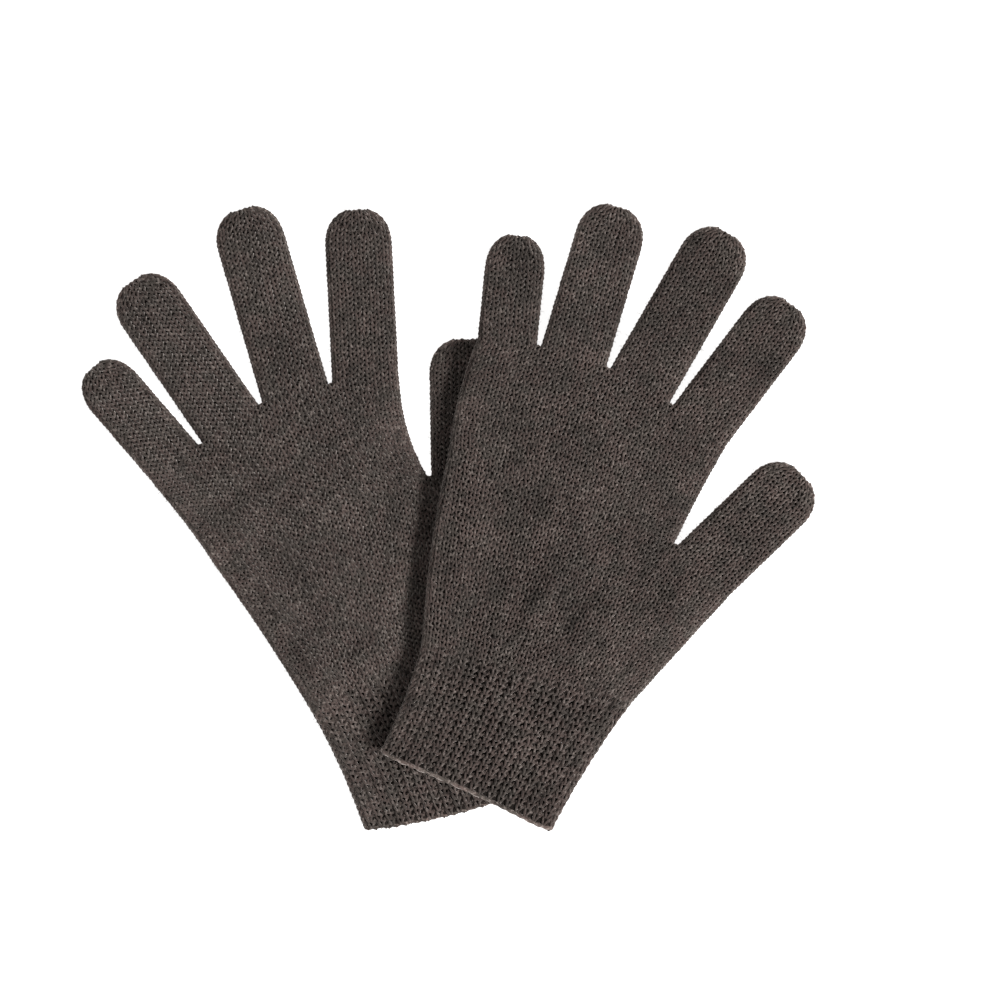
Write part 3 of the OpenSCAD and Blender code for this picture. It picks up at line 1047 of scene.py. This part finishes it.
def build_stage():
    scene = bpy.context.scene
    low, high = CAD_BOX
    bm = bmesh.new()
    bmesh.ops.create_grid(bm, x_segments=1, y_segments=1, size=TABLE_REACH)
    bmesh.ops.translate(bm, verts=bm.verts, vec=(VIEW_CENTRE[0], VIEW_CENTRE[1], low.z - TABLE_GAP * MM))
    mesh = bpy.data.meshes.new("table")
    bm.to_mesh(mesh)
    bm.free()
    floor = bpy.data.objects.new("table", mesh)
    scene.collection.objects.link(floor)
    paint = bpy.data.materials.new("Pale table")
    paint.use_nodes = True
    shader = paint.node_tree.nodes["Principled BSDF"]
    shader.inputs["Base Color"].default_value = rgba(scene.yarn_colours.floor)
    shader.inputs["Roughness"].default_value = 0.8
    shader.inputs["Emission Color"].default_value = (1, 1, 1, 1)
    shader.inputs["Emission Strength"].default_value = FLOOR_GLOW
    mesh.materials.append(paint)

    world = bpy.data.worlds.new("Studio")
    world.use_nodes = True
    world.node_tree.nodes["Background"].inputs["Color"].default_value = (1, 1, 1, 1)
    world.node_tree.nodes["Background"].inputs["Strength"].default_value = WORLD_STRENGTH
    scene.world = world
    middle = (VIEW_CENTRE[0], VIEW_CENTRE[1], 0)
    for name, (place, watts, size) in LIGHTS.items():
        add_light(name, place, middle, watts, size)
    scene.view_settings.view_transform = "Standard"

    camera = bpy.data.cameras.new("camera")
    camera.sensor_width = SENSOR
    camera.lens = SENSOR * (CAMERA_HEIGHT - high.z) / FRAME_WIDTH
    camera.clip_start, camera.clip_end = 0.01, 20
    thing = bpy.data.objects.new("camera", camera)
    thing.location = (VIEW_CENTRE[0], VIEW_CENTRE[1], CAMERA_HEIGHT)
    scene.collection.objects.link(thing)
    scene.camera = thing


# --- operators ---
class KnitOperator:
    """Base of the operators that knit one kind of piece for both gloves"""

    bl_options = {"REGISTER", "UNDO"}

    def execute(self, context):
        for side in SIDES:
            self.knit(side)
        return {"FINISHED"}


class GLOVES_OT_lower_hands(KnitOperator, bpy.types.Operator):
    """Knit the hand panels that carry the thumbs"""

    bl_idname = "gloves.lower_hands"
    bl_label = "Lower hands"

    def knit(self, side):
        knit_lower_hand(side)


class GLOVES_OT_upper_hands(KnitOperator, bpy.types.Operator):
    """Knit the hand panels that carry the four fingers"""

    bl_idname = "gloves.upper_hands"
    bl_label = "Upper hands"

    def knit(self, side):
        knit_upper_hand(side)


class GLOVES_OT_cuffs(KnitOperator, bpy.types.Operator):
    """Knit the ribbed cuffs"""

    bl_idname = "gloves.cuffs"
    bl_label = "Cuffs"

    def knit(self, side):
        knit_cuff(side)


class GLOVES_OT_hems(KnitOperator, bpy.types.Operator):
    """Lay the rolled edges of the cuffs"""

    bl_idname = "gloves.hems"
    bl_label = "Hems"

    def knit(self, side):
        knit_hem(side)


class GLOVES_OT_digit_roots(KnitOperator, bpy.types.Operator):
    """Knit the lower part of every finger and thumb"""

    bl_idname = "gloves.digit_roots"
    bl_label = "Lower parts of the digits"

    def knit(self, side):
        for k in range(len(DIGITS)):
            knit_digit_lower(side, k)


class GLOVES_OT_digit_ends(KnitOperator, bpy.types.Operator):
    """Knit the upper part of every finger and thumb, with its rounded tip"""

    bl_idname = "gloves.digit_ends"
    bl_label = "Upper parts of the digits"

    def knit(self, side):
        for k in range(len(DIGITS)):
            knit_digit_upper(side, k)


class GLOVES_OT_closings(KnitOperator, bpy.types.Operator):
    """Link the loops that close the tips"""

    bl_idname = "gloves.closings"
    bl_label = "Tip closings"

    def knit(self, side):
        for k in range(len(DIGITS)):
            knit_closing(side, k)


class GLOVES_OT_stage(bpy.types.Operator):
    """Set the table, the lights and the camera"""

    bl_idname = "gloves.stage"
    bl_label = "Stage"

    def execute(self, context):
        build_stage()
        return {"FINISHED"}


KNIT_OPERATORS = (
    GLOVES_OT_lower_hands,
    GLOVES_OT_upper_hands,
    GLOVES_OT_cuffs,
    GLOVES_OT_hems,
    GLOVES_OT_digit_roots,
    GLOVES_OT_digit_ends,
    GLOVES_OT_closings,
)


class GLOVES_PT_panel(bpy.types.Panel):
    """Sizes, yarn and the operators of the gloves"""

    bl_idname = "GLOVES_PT_panel"
    bl_label = "Knitted gloves"
    bl_space_type = "VIEW_3D"
    bl_region_type = "UI"
    bl_category = "Gloves"

    def draw(self, context):
        layout = self.layout
        for group in (context.scene.glove_sizes, context.scene.yarn_sizes, context.scene.yarn_colours):
            box = layout.box()
            for key in group.__annotations__:
                box.prop(group, key)
        for operator in KNIT_OPERATORS + (GLOVES_OT_stage,):
            layout.operator(operator.bl_idname)


CLASSES = (GloveSizes, YarnSizes, YarnColours) + KNIT_OPERATORS + (GLOVES_OT_stage, GLOVES_PT_panel)


def register():
    for cls in CLASSES:
        bpy.utils.register_class(cls)
    bpy.types.Scene.glove_sizes = bpy.props.PointerProperty(type=GloveSizes)
    bpy.types.Scene.yarn_sizes = bpy.props.PointerProperty(type=YarnSizes)
    bpy.types.Scene.yarn_colours = bpy.props.PointerProperty(type=YarnColours)


def unregister():
    del bpy.types.Scene.yarn_colours
    del bpy.types.Scene.yarn_sizes
    del bpy.types.Scene.glove_sizes
    for cls in reversed(CLASSES):
        bpy.utils.unregister_class(cls)


def main():
    register()
    bpy.ops.gloves.stage()
    bpy.ops.gloves.lower_hands()
    bpy.ops.gloves.upper_hands()
    bpy.ops.gloves.cuffs()
    bpy.ops.gloves.hems()
    bpy.ops.gloves.digit_roots()
    bpy.ops.gloves.digit_ends()
    bpy.ops.gloves.closings()


if __name__ == "__main__":
    main()
